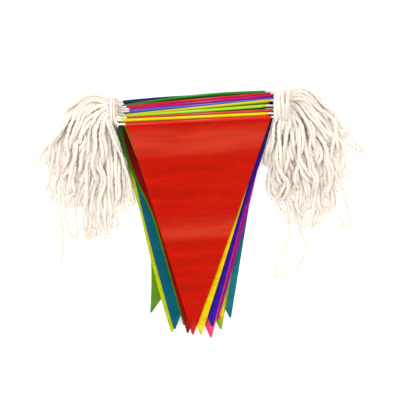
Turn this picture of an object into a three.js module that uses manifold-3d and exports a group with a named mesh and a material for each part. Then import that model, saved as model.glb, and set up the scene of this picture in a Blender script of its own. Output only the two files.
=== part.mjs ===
// String bunting, tied up as a bundle. Triangular pennants lie in a shingled pile, their rolled hems
// towards +Y and their points towards -Y. The cord that runs through the hems comes out at both ends
// as a bunch of loops, which a wrapped tie gathers. The bundle lies on the plane z = 0.
// Millimetres, +Z up, +X to the right along the hems.

import * as THREE from 'three';
import { mergeVertices } from 'three/addons/utils/BufferGeometryUtils.js';
import Module from 'manifold-3d';

const wasm = await Module();
wasm.setup();
const WELD = 1e-4;

// Cloth
const PENNANT_WIDTH = 200;
const TIP_WIDTH = 2.4;
const CLOTH = 1;
const HEM_CLOTH = 1.3;
const HEM_DEPTH = 11;
const BEAD = 3.8;
const COLUMNS = 5;
const SHEET_ROWS = 8;
const FRONT_ROWS = 14;
const SWELL_PITCH = 84;
const SWELL_FADE = 0.25;
const FLARE_BY = 0.08;
const FLARE_KEPT = 0.2;
const FLARE_GONE = 0.5;
const CLOTH_ROUGHNESS = 0.55;

// How one piece lies on another: the air between them, the steepest fall of a sheet over an edge,
// and the grid on which the height of the pile is kept
const GAP = 0.35;
const STEEPEST_FALL = 0.3;
const SETTLING_PASSES = 12;
const SETTLING_SHARE = 0.5;
const CELL = 1.5;
const PILE_REACH = 240;

// Cord, the gathered neck of each bunch, and the tie around it
const CORD = 3.2;
const CORD_COLOR = '#efe6d2';
const CORD_ROUGHNESS = 0.9;
const STRAND_SIDE = CORD * Math.sqrt(Math.PI) / 2;
const NECK_WIDE = 32;
const NECK_HIGH = 30;
const NECK_SIDES = 16;
const BULB_LENGTH = 13;
const BULB_ROWS = 8;
const STUB_DRAW_IN = 0.42;
const STUB_CLEAR = 0.7;
const STUB_KNEE = 1.5;
const STUB_DEPTH = 0.8;
const TIE_GAP = 0.5;
const TIE_PITCH = CORD + 0.4;
const TIE_MARGIN = 0.9;
const TIE_STEPS_A_TURN = 18;
const TIE_SIDES = 6;
const TIE_ACROSS = NECK_WIDE / 2 + TIE_GAP + CORD / 2;
const TIE_RISE = NECK_HIGH / 2 + TIE_GAP + CORD / 2;
const NECK_Z = TIE_RISE + CORD / 2;

// Loops of a bunch: lanes side by side in each layer, with short and long loops among them
const LAYERS = 2;
const LANES = 9;
const FIRST_LANE = 0.3;
const LANE_SHIFT = 0.4;
const LAYER_PITCH = STRAND_SIDE + GAP;
const SHORTEST_LOOP = 0.78;
const REACH_STEP = 0.618;
const REACH_SHIFT = 0.5;
const BIGHT = 0.045;

// Roots of the loops' legs, as rows of the neck from -1 at its underside to 1
const LOWEST_ROOT = -0.85;
const ROOTS_A_LAYER = 0.8;
const ROOTS_APART = 0.4;
const STRAY_ROOT = 0.8;

// One leg of a loop: where on its way it spreads and comes down, in shares, and how it wanders
const LEG_POINTS = 6;
const FIRST_POINT = 0.5;
const LEGS_APART = 0.5;
const SPREAD_BY = 0.4;
const DOWN_FROM = 0.3;
const DOWN_BY = 0.75;
const WANDER = 0.018;
const WAVES_ALONG = 1.3;
const WAVES_ACROSS = 1.2;
const WAVES_A_LAYER = 0.4;

// From the bottom of the pile to the front. hem: x and y of the hem's middle. turn: degrees.
// bow: how far the middle of the hem lies above the line of its ends. tip: x and y. sway: how early
// (above 0) or late (below 0) the cloth swings over to its tip. swell: height of its soft swells.
// flare: how far the cloth spreads past its gathered hem at its left and right edge.
const PENNANTS = [
  { name: 'teal_right', color: '#2f7e92', hem: [-7, 127], turn: 2.6, bow: 3, tip: [42, -177], sway: 0 },
  { name: 'grass', color: '#6b9e2b', hem: [-9, 126], turn: 5.7, bow: 4, tip: [-68, -170], sway: -1 },
  { name: 'lime_back', color: '#a9c93a', hem: [-7, 107], turn: 2.7, bow: 0, tip: [29, -193], sway: -0.3 },
  {
    name: 'yellow_back', color: '#ffdd00', hem: [-1, 117.5], turn: 3.2, bow: 0, tip: [31, -178],
    sway: -1.2,
  },
  { name: 'crimson', color: '#a81a2c', hem: [-2, 124], turn: 5.3, bow: 0.7, tip: [0, -177], sway: 0 },
  { name: 'magenta', color: '#b0158a', hem: [2, 121], turn: 5.5, bow: 0, tip: [24, -179], sway: 0.7 },
  { name: 'pink', color: '#f0507a', hem: [-5, 98], turn: 2.6, bow: 0, tip: [15, -204], sway: 0 },
  {
    name: 'violet', color: '#4a1fa8', hem: [2, 117], turn: 5.1, bow: 0, tip: [17, -188], sway: 0,
    flare: [0, 6],
  },
  {
    name: 'lime_left', color: '#b8d62e', hem: [-2, 113], turn: 5.8, bow: 0, tip: [-39, -197], sway: 0.9,
    flare: [7, 0],
  },
  { name: 'teal_left', color: '#2b7587', hem: [-9, 106], turn: 2.8, bow: 0, tip: [-35, -192], sway: 0.5 },
  {
    name: 'leaf', color: '#3f8f2c', hem: [-10, 108], turn: 4.4, bow: 0, tip: [-22, -186], sway: -0.7,
    flare: [11, 0],
  },
  {
    name: 'coral', color: '#c31208', hem: [0, 104], turn: 3.2, bow: 0, tip: [-17, -197], sway: 0,
    flare: [12, 0],
  },
  { name: 'yellow_front', color: '#e3c800', hem: [-7, 100], turn: 2.8, bow: 0, tip: [1, -199], sway: 1.2 },
  {
    name: 'red', color: '#e02a0f', hem: [-2, 95], turn: 2.9, bow: 0, tip: [-10, -199], sway: -0.6,
    swell: 2.2,
  },
];

// Bunches of loops. neckX: the neck's face towards the hems. tieTurns: turns of its tie. inner, middle,
// outer: the way that the loops take in plan from the neck's far face. strays: loops, or one loose end,
// that leave the bunch on their own way along the floor. lane: 0 inner to 1 outer. leave: share of the
// bunch's way.
const BUNCHES = [
  {
    name: 'left',
    away: -1,
    tieTurns: 2,
    neckX: -113.5,
    neckY: 109.5,
    inner: [[-125, 97], [-123, 84], [-113, 54], [-102, 16], [-93, -34]],
    middle: [[-125, 109.5], [-142, 105], [-151, 62], [-153, 4], [-156, -68]],
    outer: [[-125, 122], [-150, 132], [-181, 104], [-207, 58], [-217, -18]],
    strays: [
      { lane: 1.02, leave: 0.66, back: 0.98, path: [[-213, 60], [-224, 48], [-226, 39], [-219, 32]] },
      { lane: 0.72, leave: 1, back: 0.6, path: [[-180, -62], [-174, -71], [-166, -68]] },
      { lane: 0.84, leave: 1, back: null, path: [[-190, -60], [-190, -82], [-193, -103]] },
    ],
  },
  {
    name: 'right',
    away: 1,
    tieTurns: 1,
    neckX: 106,
    neckY: 115.5,
    inner: [[114, 102], [113, 90], [101, 56], [109, 10], [124, -76]],
    middle: [[114, 115.5], [131, 112], [146, 68], [153, 12], [158, -64]],
    outer: [[114, 128], [136, 141], [173, 116], [201, 70], [214, 12]],
    strays: [
      { lane: 1.02, leave: 0.72, back: 0.98, path: [[217, 64], [229, 55], [226, 46]] },
      { lane: 0.9, leave: 1, back: 0.8, path: [[207, -28], [209, -52], [205, -62], [200, -54]] },
      {
        lane: 0.12,
        leave: 1,
        back: 0.3,
        path: [[117, -88], [101, -110], [104, -125], [124, -113], [147, -92]],
      },
    ],
  },
];

// Rows of a pennant's section at its hem: place along the cloth, and the heights of its underside and
// its upper side above what it rests on
const R = BEAD / 2;
const HEM_SECTION = [
  { along: -R, low: 0.75 * R, high: 1.25 * R },
  { along: -0.7 * R, low: 0.3 * R, high: 1.7 * R },
  { along: 0, low: 0, high: 2 * R },
  { along: 0.7 * R, low: 0, high: 1.7 * R },
  { along: 1.3 * R, low: 0, high: HEM_CLOTH },
  { along: HEM_DEPTH, low: 0, high: HEM_CLOTH },
  { along: HEM_DEPTH + CLOTH, low: 0, high: CLOTH },
];
const BEAD_ROW = 2;

const mix = THREE.MathUtils.lerp;
const ease = (share) => THREE.MathUtils.smoothstep(share, 0, 1);

// A curve whose steps fall on its own points, with a section that keeps level with one direction
class CordRoute extends THREE.CatmullRomCurve3 {
  constructor(points, level) {
    super(points, false, 'centripetal');
    this.level = level;
  }

  getPointAt(share, target) {
    return this.getPoint(share, target);
  }

  getTangentAt(share, target) {
    return this.getTangent(share, target);
  }

  computeFrenetFrames(steps) {
    const frames = { tangents: [], normals: [], binormals: [] };
    for (let step = 0; step <= steps; step++) {
      const tangent = this.getTangent(step / steps);
      const normal = this.level.clone().cross(tangent).normalize();
      frames.tangents.push(tangent);
      frames.normals.push(normal);
      frames.binormals.push(tangent.clone().cross(normal));
    }
    return frames;
  }
}

// The height of everything laid so far
class Pile {
  constructor() {
    this.width = Math.ceil(2 * PILE_REACH / CELL);
    this.tops = new Float32Array(this.width * this.width);
    this.beads = [];
  }

  cell(x, y) {
    const column = Math.floor((x + PILE_REACH) / CELL);
    const row = Math.floor((y + PILE_REACH) / CELL);
    return row * this.width + column;
  }

  clothRest(x, y) {
    const top = this.tops[this.cell(x, y)];
    return top > 0 ? top + GAP : 0;
  }

  // Lowest height at which something round, of a given radius, clears the beads under it
  overBeads(x, y, radius) {
    const reach = R + radius + GAP;
    let highest = 0;
    for (const bead of this.beads) {
      const [beadY, beadZ] = beadAt(bead, x);
      const aside = Math.abs(y - beadY);
      if (aside < reach) {
        highest = Math.max(highest, beadZ + Math.sqrt(reach * reach - aside * aside) - radius);
      }
    }
    return highest;
  }

  sheetRest(x, y) {
    return Math.max(this.clothRest(x, y), this.overBeads(x, y, 0));
  }

  beadRest(x, y) {
    return Math.max(this.clothRest(x, y), this.overBeads(x, y, R));
  }

  cover(x, y, top) {
    for (let row = -1; row <= 1; row++) {
      for (let column = -1; column <= 1; column++) {
        const cell = this.cell(x + column * CELL, y + row * CELL);
        this.tops[cell] = Math.max(this.tops[cell], top);
      }
    }
  }
}

// Middle of a bead, y and z, at a place along the hem. Past its ends the cord runs straight on.
function beadAt(bead, x) {
  const last = bead.length - 2;
  const after = bead.findIndex((point) => point.x > x);
  const start = after < 0 ? last : Math.max(after - 1, 0);
  const [from, to] = [bead[start], bead[start + 1]];
  const share = THREE.MathUtils.clamp((x - from.x) / (to.x - from.x), 0, 1);
  return [mix(from.y, to.y, share), mix(from.z, to.z, share)];
}

// Pennants

const clothLength = ({ hem, tip }) => Math.hypot(tip[0] - hem[0], tip[1] - hem[1]);

// Place in plan: share 0 to 1 across the cloth, along from the middle of the hem's bead
function planPoint(pennant, share, along) {
  const { sway, bow, flare = [0, 0] } = pennant;
  const [hemX, hemY] = pennant.hem;
  const [tipX, tipY] = pennant.tip;
  const turn = THREE.MathUtils.degToRad(pennant.turn);
  const down = Math.max(along / clothLength(pennant), 0);
  const behind = Math.max(-along, 0);
  const across = (share - 0.5) * mix(PENNANT_WIDTH, TIP_WIDTH, down);
  const lift = bow * (1 - (2 * share - 1) ** 2) * (1 - down);
  const swung = down + sway * down * (1 - down);
  const spread = ease(down / FLARE_BY) * (1 - ease((down - FLARE_KEPT) / (FLARE_GONE - FLARE_KEPT)));
  const past = spread * (flare[1] * share ** 2 - flare[0] * (1 - share) ** 2);
  return {
    x: mix(hemX, tipX, swung) + across * Math.cos(turn) - behind * Math.sin(turn) + past,
    y: mix(hemY, tipY, down) + across * Math.sin(turn) + behind * Math.cos(turn) + lift,
  };
}

function pennantGrid(pennant) {
  const length = clothLength(pennant);
  const rows = pennant.swell ? FRONT_ROWS : SHEET_ROWS;
  const start = HEM_DEPTH + CLOTH;
  const section = [...HEM_SECTION];
  for (let row = 1; row <= rows; row++) {
    section.push({ along: mix(start, length, row / rows), low: 0, high: CLOTH });
  }
  return section.map((line) => {
    const points = [];
    for (let column = 0; column <= COLUMNS; column++) {
      const place = planPoint(pennant, column / COLUMNS, line.along);
      points.push({ ...line, ...place, rest: 0 });
    }
    return points;
  });
}

// Calls visit for places spread over each triangle of the grid below the bead, with its three corners
// and their weights
function eachPlace(grid, visit) {
  for (let row = BEAD_ROW; row + 1 < grid.length; row++) {
    for (let column = 0; column < COLUMNS; column++) {
      const near = grid[row][column];
      const across = grid[row][column + 1];
      const along = grid[row + 1][column];
      const far = grid[row + 1][column + 1];
      const acrossSteps = Math.ceil(Math.hypot(across.x - near.x, across.y - near.y) / CELL);
      const alongSteps = Math.ceil(Math.hypot(along.x - near.x, along.y - near.y) / CELL);
      for (let i = 0; i <= acrossSteps; i++) {
        for (let j = 0; j <= alongSteps; j++) {
          const a = i / acrossSteps;
          const b = j / alongSteps;
          if (a >= b) {
            visit([near, across, far], [1 - a, a - b, b]);
          } else {
            visit([near, along, far], [1 - b, b - a, a]);
          }
        }
      }
    }
  }
}

function blend(corners, weights, key) {
  return corners.reduce((sum, corner, i) => sum + corner[key] * weights[i], 0);
}

// Every place where the pile holds the sheet up, with the height that it needs there
function supports(grid, pile) {
  const places = [];
  const add = (corners, weights, restAt) => {
    const height = restAt(blend(corners, weights, 'x'), blend(corners, weights, 'y'));
    places.push({ corners, weights, height });
  };
  const beadLine = grid[BEAD_ROW];
  for (let column = 0; column < COLUMNS; column++) {
    const ends = [beadLine[column], beadLine[column + 1]];
    const steps = Math.ceil((ends[1].x - ends[0].x) / CELL);
    for (let step = 0; step <= steps; step++) {
      add(ends, [1 - step / steps, step / steps], (x, y) => pile.beadRest(x, y));
    }
  }
  eachPlace(grid, (corners, weights) => add(corners, weights, (x, y) => pile.sheetRest(x, y)));
  return places;
}

// Lays a sheet on the pile: it starts high enough everywhere, and each point is then let down as far
// as its supports allow, falling off edges no steeper than cloth does
function settle(grid, pile) {
  const points = grid.slice(BEAD_ROW).flat();
  const held = new Map(points.map((point) => [point, []]));
  for (const place of supports(grid, pile)) {
    place.corners.forEach((corner, i) => {
      if (place.weights[i] > 0) {
        corner.rest = Math.max(corner.rest, place.height);
        held.get(corner).push({ place, weight: place.weights[i] });
      }
    });
  }
  const fallLimit = (point) => points.reduce((limit, other) => {
    const apart = Math.hypot(point.x - other.x, point.y - other.y);
    return other === point ? limit : Math.max(limit, other.rest - STEEPEST_FALL * apart);
  }, 0);
  for (const point of points) {
    point.rest = Math.max(point.rest, fallLimit(point));
  }
  for (let pass = 0; pass < SETTLING_PASSES; pass++) {
    for (const point of points) {
      const lowest = held.get(point).reduce((limit, { place, weight }) => {
        const missing = place.height - blend(place.corners, place.weights, 'rest');
        return Math.max(limit, point.rest + missing / weight);
      }, fallLimit(point));
      point.rest = mix(point.rest, Math.min(point.rest, lowest), SETTLING_SHARE);
    }
  }
  for (const line of grid.slice(0, BEAD_ROW)) {
    line.forEach((point, column) => {
      point.rest = grid[BEAD_ROW][column].rest;
    });
  }
}

function swell(grid, height) {
  const length = grid.at(-1)[0].along;
  for (const point of grid.flat()) {
    const down = Math.max(point.along / length, 0);
    const wave = (1 - Math.cos(2 * Math.PI * down * length / SWELL_PITCH)) / 2;
    point.rest += height * wave * Math.min(1, (1 - down) / SWELL_FADE);
  }
}

function coverPile(grid, pile) {
  eachPlace(grid, (corners, weights) => {
    const top = blend(corners, weights, 'rest') + Math.min(blend(corners, weights, 'high'), HEM_CLOTH);
    pile.cover(blend(corners, weights, 'x'), blend(corners, weights, 'y'), top);
  });
  pile.beads.push(grid[BEAD_ROW].map(({ x, y, rest }) => ({ x, y, z: rest + R })));
}

// A closed sheet from its grid: upper side, underside, two ends and two edges
function sheetGeometry(grid) {
  const positions = [];
  const faces = [];
  const lineLength = COLUMNS + 1;
  const under = grid.length * lineLength;
  for (const key of ['high', 'low']) {
    for (const point of grid.flat()) {
      positions.push(point.x, point.y, point.rest + point[key]);
    }
  }
  const quad = (a, b, c, d) => faces.push(a, b, c, a, c, d);
  const at = (row, column) => row * lineLength + column;
  const last = grid.length - 1;
  for (let row = 0; row < last; row++) {
    for (let column = 0; column < COLUMNS; column++) {
      const near = at(row, column);
      const along = at(row + 1, column);
      const far = at(row + 1, column + 1);
      const across = at(row, column + 1);
      quad(near, along, far, across);
      quad(under + near, under + across, under + far, under + along);
    }
    quad(at(row + 1, 0), at(row, 0), under + at(row, 0), under + at(row + 1, 0));
    quad(at(row, COLUMNS), at(row + 1, COLUMNS), under + at(row + 1, COLUMNS), under + at(row, COLUMNS));
  }
  for (let column = 0; column < COLUMNS; column++) {
    quad(at(0, column), at(0, column + 1), under + at(0, column + 1), under + at(0, column));
    quad(at(last, column + 1), at(last, column), under + at(last, column), under + at(last, column + 1));
  }
  const geometry = new THREE.BufferGeometry();
  geometry.setAttribute('position', new THREE.Float32BufferAttribute(positions, 3));
  geometry.setIndex(faces);
  geometry.computeVertexNormals();
  return geometry;
}

// Cord

function polygon(sides, radius, start) {
  const points = [];
  for (let side = 0; side < sides; side++) {
    const angle = start + 2 * Math.PI * side / sides;
    points.push(new THREE.Vector2(radius * Math.cos(angle), radius * Math.sin(angle)));
  }
  return new THREE.Shape(points);
}

function sweep(points, section, level) {
  const extrudePath = new CordRoute(points, level);
  return new THREE.ExtrudeGeometry(section, { steps: points.length - 1, extrudePath });
}

const UP = new THREE.Vector3(0, 0, 1);
const ALONG_HEMS = new THREE.Vector3(1, 0, 0);
const STRAND_SECTION = polygon(4, STRAND_SIDE / Math.SQRT2, Math.PI / 4);
const TIE_SECTION = polygon(TIE_SIDES, CORD / 2, 0);

// Place in plan on the way of a bunch: lane 0 inner to 1 outer, share 0 at the neck to 1
function wayPoint(bunch, lane, share) {
  const inner = 2 * (lane - 0.5) * (lane - 1);
  const middle = 4 * lane * (1 - lane);
  const outer = 2 * lane * (lane - 0.5);
  const points = bunch.inner.map((from, i) => new THREE.Vector3(
    inner * from[0] + middle * bunch.middle[i][0] + outer * bunch.outer[i][0],
    inner * from[1] + middle * bunch.middle[i][1] + outer * bunch.outer[i][1],
    0,
  ));
  return new THREE.CatmullRomCurve3(points).getPoint(share);
}

const tieLength = (bunch) => bunch.tieTurns * TIE_PITCH + CORD;
const neckLength = (bunch) => tieLength(bunch) + 2 * TIE_MARGIN;

// Place of a strand's root in the neck: column and row run from -1 to 1, rounded off at the corners
function rootPoint(bunch, column, row) {
  const across = column * Math.sqrt(1 - row * row / 2) * (NECK_WIDE - CORD) / 2;
  const rise = row * Math.sqrt(1 - column * column / 2) * (NECK_HIGH - CORD) / 2;
  const rootX = bunch.neckX + bunch.away * neckLength(bunch);
  return new THREE.Vector3(rootX, bunch.neckY + across, NECK_Z + rise);
}

const layerHeight = (layer) => STRAND_SIDE / 2 + layer * LAYER_PITCH;

// One leg of a loop, from its root in the neck to the end of its way. It spreads to its own lane
// while it is still high, and then comes down to its layer.
function leg(bunch, lane, aside, row, layer, reach) {
  const root = rootPoint(bunch, 2 * lane - 1, row);
  const points = [root];
  for (let i = 0; i < LEG_POINTS; i++) {
    const share = reach * (i + FIRST_POINT) / (LEG_POINTS - 1 + FIRST_POINT);
    const waves = WAVES_ALONG * share + WAVES_ACROSS * lane + WAVES_A_LAYER * layer;
    const shift = aside + WANDER * Math.sin(2 * Math.PI * waves);
    const point = wayPoint(bunch, lane + shift * ease(share / SPREAD_BY), share);
    point.z = mix(root.z, layerHeight(layer), ease((share - DOWN_FROM) / (DOWN_BY - DOWN_FROM)));
    points.push(point);
  }
  return points;
}

function loops(bunch) {
  const strands = [];
  for (let layer = 0; layer < LAYERS; layer++) {
    for (let loop = 0; loop < LANES; loop++) {
      const lane = (loop + FIRST_LANE + LANE_SHIFT * layer) / LANES;
      const longer = (REACH_STEP * (loop + 1) + REACH_SHIFT * layer) % 1;
      const reach = mix(SHORTEST_LOOP, 1 - BIGHT, longer);
      const aside = LEGS_APART / 2 / LANES;
      const lower = LOWEST_ROOT + layer * ROOTS_A_LAYER;
      const out = leg(bunch, lane, -aside, lower, layer, reach);
      const home = leg(bunch, lane, aside, lower + ROOTS_APART, layer, reach);
      const bight = wayPoint(bunch, lane, reach + BIGHT);
      bight.z = layerHeight(layer);
      strands.push([...out, bight, ...home.reverse()]);
    }
  }
  return strands;
}

function strays(bunch) {
  return bunch.strays.map(({ lane, leave, back, path }) => {
    const out = leg(bunch, lane, 0, STRAY_ROOT, LAYERS, leave);
    const floor = path.map(([x, y]) => new THREE.Vector3(x, y, layerHeight(0)));
    if (back === null) {
      return [...out, ...floor];
    }
    const home = leg(bunch, back, 0, STRAY_ROOT, LAYERS, leave);
    return [...out, ...floor, ...home.reverse()];
  });
}

// Short lengths of cord that run straight out of the hems and dip into the neck
function stubs(bunch, pile) {
  return pile.beads.map((bead) => {
    const end = bunch.away < 0 ? bead[0] : bead.at(-1);
    const start = new THREE.Vector3(end.x + bunch.away * STUB_CLEAR, end.y, end.z);
    const knee = new THREE.Vector3(bunch.neckX - bunch.away * STUB_KNEE, end.y, end.z);
    const root = new THREE.Vector3(
      bunch.neckX + bunch.away * STUB_DEPTH,
      mix(bunch.neckY, end.y, STUB_DRAW_IN),
      mix(NECK_Z, end.z, STUB_DRAW_IN),
    );
    return [start, start.clone().lerp(knee, 0.5), knee, root];
  });
}

// The gathered neck and the bulb that the packed cords make just past the tie, turned about one axis
function neckGeometry(bunch) {
  const profile = [new THREE.Vector2(0, 0), new THREE.Vector2(1, 0)];
  for (let row = 0; row <= BULB_ROWS; row++) {
    const angle = Math.PI / 2 * row / BULB_ROWS;
    const radius = row < BULB_ROWS ? Math.cos(angle) : 0;
    profile.push(new THREE.Vector2(radius, neckLength(bunch) + BULB_LENGTH * Math.sin(angle)));
  }
  const geometry = new THREE.LatheGeometry(profile, NECK_SIDES);
  geometry.rotateZ(-bunch.away * Math.PI / 2);
  geometry.scale(1, NECK_WIDE / 2, NECK_HIGH / 2);
  geometry.translate(bunch.neckX, bunch.neckY, NECK_Z);
  return geometry;
}

function tieGeometry(bunch) {
  const steps = bunch.tieTurns * TIE_STEPS_A_TURN;
  const middle = bunch.neckX + bunch.away * neckLength(bunch) / 2;
  const points = [];
  for (let step = 0; step <= steps; step++) {
    const turns = step / TIE_STEPS_A_TURN;
    const angle = 2 * Math.PI * turns - Math.PI / 2;
    points.push(new THREE.Vector3(
      middle + TIE_PITCH * (turns - bunch.tieTurns / 2),
      bunch.neckY + TIE_ACROSS * Math.cos(angle),
      NECK_Z + TIE_RISE * Math.sin(angle),
    ));
  }
  return sweep(points, TIE_SECTION, ALONG_HEMS);
}

// Joining

function solid(geometry) {
  const bare = geometry.clone();
  bare.deleteAttribute('normal');
  bare.deleteAttribute('uv');
  const merged = mergeVertices(bare, WELD);
  return new wasm.Manifold(new wasm.Mesh({
    numProp: 3,
    vertProperties: new Float32Array(merged.attributes.position.array),
    triVerts: new Uint32Array(merged.index.array),
  }));
}

function joined(geometries) {
  const whole = geometries.map(solid).reduce((sum, piece) => sum.add(piece));
  const { vertProperties, triVerts } = whole.getMesh();
  const geometry = new THREE.BufferGeometry();
  geometry.setAttribute('position', new THREE.BufferAttribute(vertProperties, 3));
  geometry.setIndex(new THREE.BufferAttribute(triVerts, 1));
  geometry.computeVertexNormals();
  return geometry;
}

// Assembly

const bunting = new THREE.Group();
const pile = new Pile();

function place(name, geometry, color, roughness) {
  const material = new THREE.MeshStandardMaterial({ color, roughness, metalness: 0 });
  const mesh = new THREE.Mesh(geometry, material);
  mesh.name = name;
  bunting.add(mesh);
}

for (const pennant of PENNANTS) {
  const grid = pennantGrid(pennant);
  settle(grid, pile);
  if (pennant.swell) {
    swell(grid, pennant.swell);
  }
  coverPile(grid, pile);
  place(`pennant_${pennant.name}`, sheetGeometry(grid), pennant.color, CLOTH_ROUGHNESS);
}

for (const bunch of BUNCHES) {
  const cords = [...loops(bunch), ...strays(bunch), ...stubs(bunch, pile)];
  const strands = cords.map((points) => sweep(points, STRAND_SECTION, UP));
  place(`cord_loops_${bunch.name}`, joined([neckGeometry(bunch), ...strands]), CORD_COLOR, CORD_ROUGHNESS);
  place(`tie_${bunch.name}`, tieGeometry(bunch), CORD_COLOR, CORD_ROUGHNESS);
}

export default bunting;
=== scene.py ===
"""A tied bundle of string bunting: thin taffeta pennants in a shingled pile, strung on a twisted
cotton cord whose loops hang in a tied bunch at each side.

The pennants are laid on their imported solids, and the cord runs from their hems.
"""

import math
from collections import namedtuple

import bmesh
import bpy
import numpy as np
from bpy.props import FloatProperty, FloatVectorProperty, PointerProperty
from mathutils import Matrix, Vector
from mathutils.bvhtree import BVHTree


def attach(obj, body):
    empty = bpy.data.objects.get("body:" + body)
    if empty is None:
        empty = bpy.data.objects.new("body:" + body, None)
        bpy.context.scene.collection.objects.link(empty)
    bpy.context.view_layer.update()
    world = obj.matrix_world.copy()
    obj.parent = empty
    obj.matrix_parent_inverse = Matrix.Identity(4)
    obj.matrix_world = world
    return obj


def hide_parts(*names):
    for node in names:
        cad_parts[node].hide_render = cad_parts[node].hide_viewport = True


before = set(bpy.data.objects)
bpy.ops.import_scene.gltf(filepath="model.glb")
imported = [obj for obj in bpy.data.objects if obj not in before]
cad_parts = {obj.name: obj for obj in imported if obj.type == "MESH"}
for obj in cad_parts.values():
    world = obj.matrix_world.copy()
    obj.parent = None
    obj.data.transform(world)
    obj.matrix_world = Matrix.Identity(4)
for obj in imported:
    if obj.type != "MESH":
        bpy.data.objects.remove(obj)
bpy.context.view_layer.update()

bl_info = {
    "name": "String bunting bundle",
    "version": (1, 0, 0),
    "blender": (4, 5, 0),
    "location": "3D View > Sidebar > Bunting",
    "description": "Dresses the solids of a tied bundle of string bunting in cloth and cord",
    "category": "Object",
}

MM = 0.001
FULL_TURN = 2 * math.pi
UP = (0.0, 0.0, 1.0)
WHITE = (1.0, 1.0, 1.0, 1.0)
NEARLY_ZERO = 1e-6
SHORT_OF_END = 1e-9

# Cloth, in millimetres, as in the solids
PENNANT_WIDTH = 200.0
TIP_WIDTH = 2.4
BEAD_RADIUS = 1.9

# From the bottom of the pile to the front. roll: its colour where the hem is rolled tight over the
# cord, paler where the cord shows through, with painted light and shade: lighter where the roll
# catches the light, darker where it lies in shade, as the navy roll of teal right. hem: its middle.
# turn: degrees. bow: how far the hem's middle lies above the line of its ends. sway: how early or
# late the cloth swings to its tip. flare: how far it spreads past its hem at each edge.
Pennant = namedtuple("Pennant", "name dye roll hem turn bow tip sway flare")
PENNANTS = (
    Pennant("teal_right", "#10727c", "#12286a", (-7, 127), 2.6, 3, (42, -177), 0, (0, 0)),
    Pennant("grass", "#5a8c14", "#2f9a26", (-9, 126), 5.7, 4, (-68, -170), -1, (0, 0)),
    Pennant("lime_back", "#8fb81a", "#9cc420", (-7, 107), 2.7, 0, (29, -193), -0.3, (0, 0)),
    Pennant("yellow_back", "#f0d000", "#f6d800", (-1, 117.5), 3.2, 0, (31, -178), -1.2, (0, 0)),
    Pennant("crimson", "#b80c34", "#dc2440", (-2, 124), 5.3, 0.7, (0, -177), 0, (0, 0)),
    Pennant("magenta", "#a40c8c", "#d0187c", (2, 121), 5.5, 0, (24, -179), 0.7, (0, 0)),
    Pennant("pink", "#ea4270", "#f05a80", (-5, 98), 2.6, 0, (15, -204), 0, (0, 0)),
    Pennant("violet", "#3a18a2", "#5c70e4", (2, 117), 5.1, 0, (17, -188), 0, (0, 6)),
    Pennant("lime_left", "#c2cc10", "#eee010", (-2, 113), 5.8, 0, (-39, -197), 0.9, (7, 0)),
    Pennant("teal_left", "#005a6a", "#0c7080", (-9, 106), 2.8, 0, (-35, -192), 0.5, (0, 0)),
    Pennant("leaf", "#427a04", "#b8f03c", (-10, 108), 4.4, 0, (-22, -186), -0.7, (11, 0)),
    # The coral dye is darkened: painted shade of its strip under the pennants in front
    Pennant("coral", "#860804", "#e0503c", (0, 104), 3.2, 0, (-17, -197), 0, (12, 0)),
    Pennant("yellow_front", "#ecce00", "#ffe60a", (-7, 100), 2.8, 0, (1, -199), 1.2, (0, 0)),
    Pennant("red", "#c41400", "#f03428", (-2, 95), 2.9, 0, (-10, -199), -0.6, (0, 0)),
)
FRONT = "red"

# Spread of the cloth past its hem, as shares of its length: where it is reached, left and gone
FLARE_BY = 0.08
FLARE_KEPT = 0.2
FLARE_GONE = 0.5

# Section of a cloth sheet at its hem: along the cloth and above what it rests on, in millimetres.
# The turned-in flap comes first, then the roll around the cord, then the sewn hem and the cloth.
FLAP = ((11.6, 0.2), (9.5, 0.2), (7.0, 0.2), (4.5, 0.2), (2.4, 0.2))
ROLL_RADIUS = 1.72
ROLL_FROM = 270
ROLL_TOP = 90
ROLL_TO = 45
ROLL_STEPS = 12
HEM_FRONT = (
    (1.9, 2.45), (2.6, 1.75), (3.4, 1.35), (4.6, 1.15), (6.2, 1.1), (8.0, 1.1), (9.2, 1.02),
    (9.9, 0.86), (10.6, 0.98), (11.6, 1.0), (12.6, 0.85), (14.2, 0.6), (16.5, 0.5), (19.5, 0.5),
)
CLOTH_LIFT = 0.5
CLOTH_STEP = 3.4
CLOTH_COLUMNS = 44
FRONT_STEP = 2.2
FRONT_COLUMNS = 76
BEAD_FRONT = 0.3
EDGE_INSET = 0.004

# Soft folds pressed into the front cloth: across and along at both ends, as shares, then half width
# and height in millimetres. They fade at their ends and where the cloth is narrow.
Crease = namedtuple("Crease", "across along across_end along_end half_width height")
FRONT_CREASES = (
    Crease(0.02, 0.10, 0.55, 0.17, 9, 0.5),
    Crease(0.45, 0.13, 0.98, 0.10, 8, -0.4),
    Crease(0.10, 0.25, 0.80, 0.22, 10, 0.55),
    Crease(0.30, 0.36, 1.00, 0.31, 9, -0.45),
    Crease(0.00, 0.43, 0.60, 0.40, 10, -0.4),
    Crease(0.35, 0.54, 1.00, 0.50, 9, 0.5),
    Crease(0.05, 0.62, 0.75, 0.60, 8, -0.3),
    Crease(0.20, 0.74, 0.90, 0.71, 7, 0.35),
)
CREASED_LENGTH = 300.0
CREASE_FADE = 0.2
NARROW_CLOTH = 60.0

# Smoothing of the solids' facets, and the height grid that keeps each sheet clear of those below
SMOOTHING_PASSES = 14
CLEARING_PASSES = 3
SEWN_ROWS_KEPT = 2
CLEARANCE = 0.18
BELOW_FLOOR = 1.0
CELL = 1.0
PILE_REACH = 245.0
FINER = 6
DILATED = 2

# Cord, in millimetres: as in the solids, as wide as it settles where it hangs loose, and as thick
# as it shows there, pressed into its neighbours
CORD = 3.2
LOOSE_CORD = 5.0
SWOLLEN_CORD = 6.3

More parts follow.
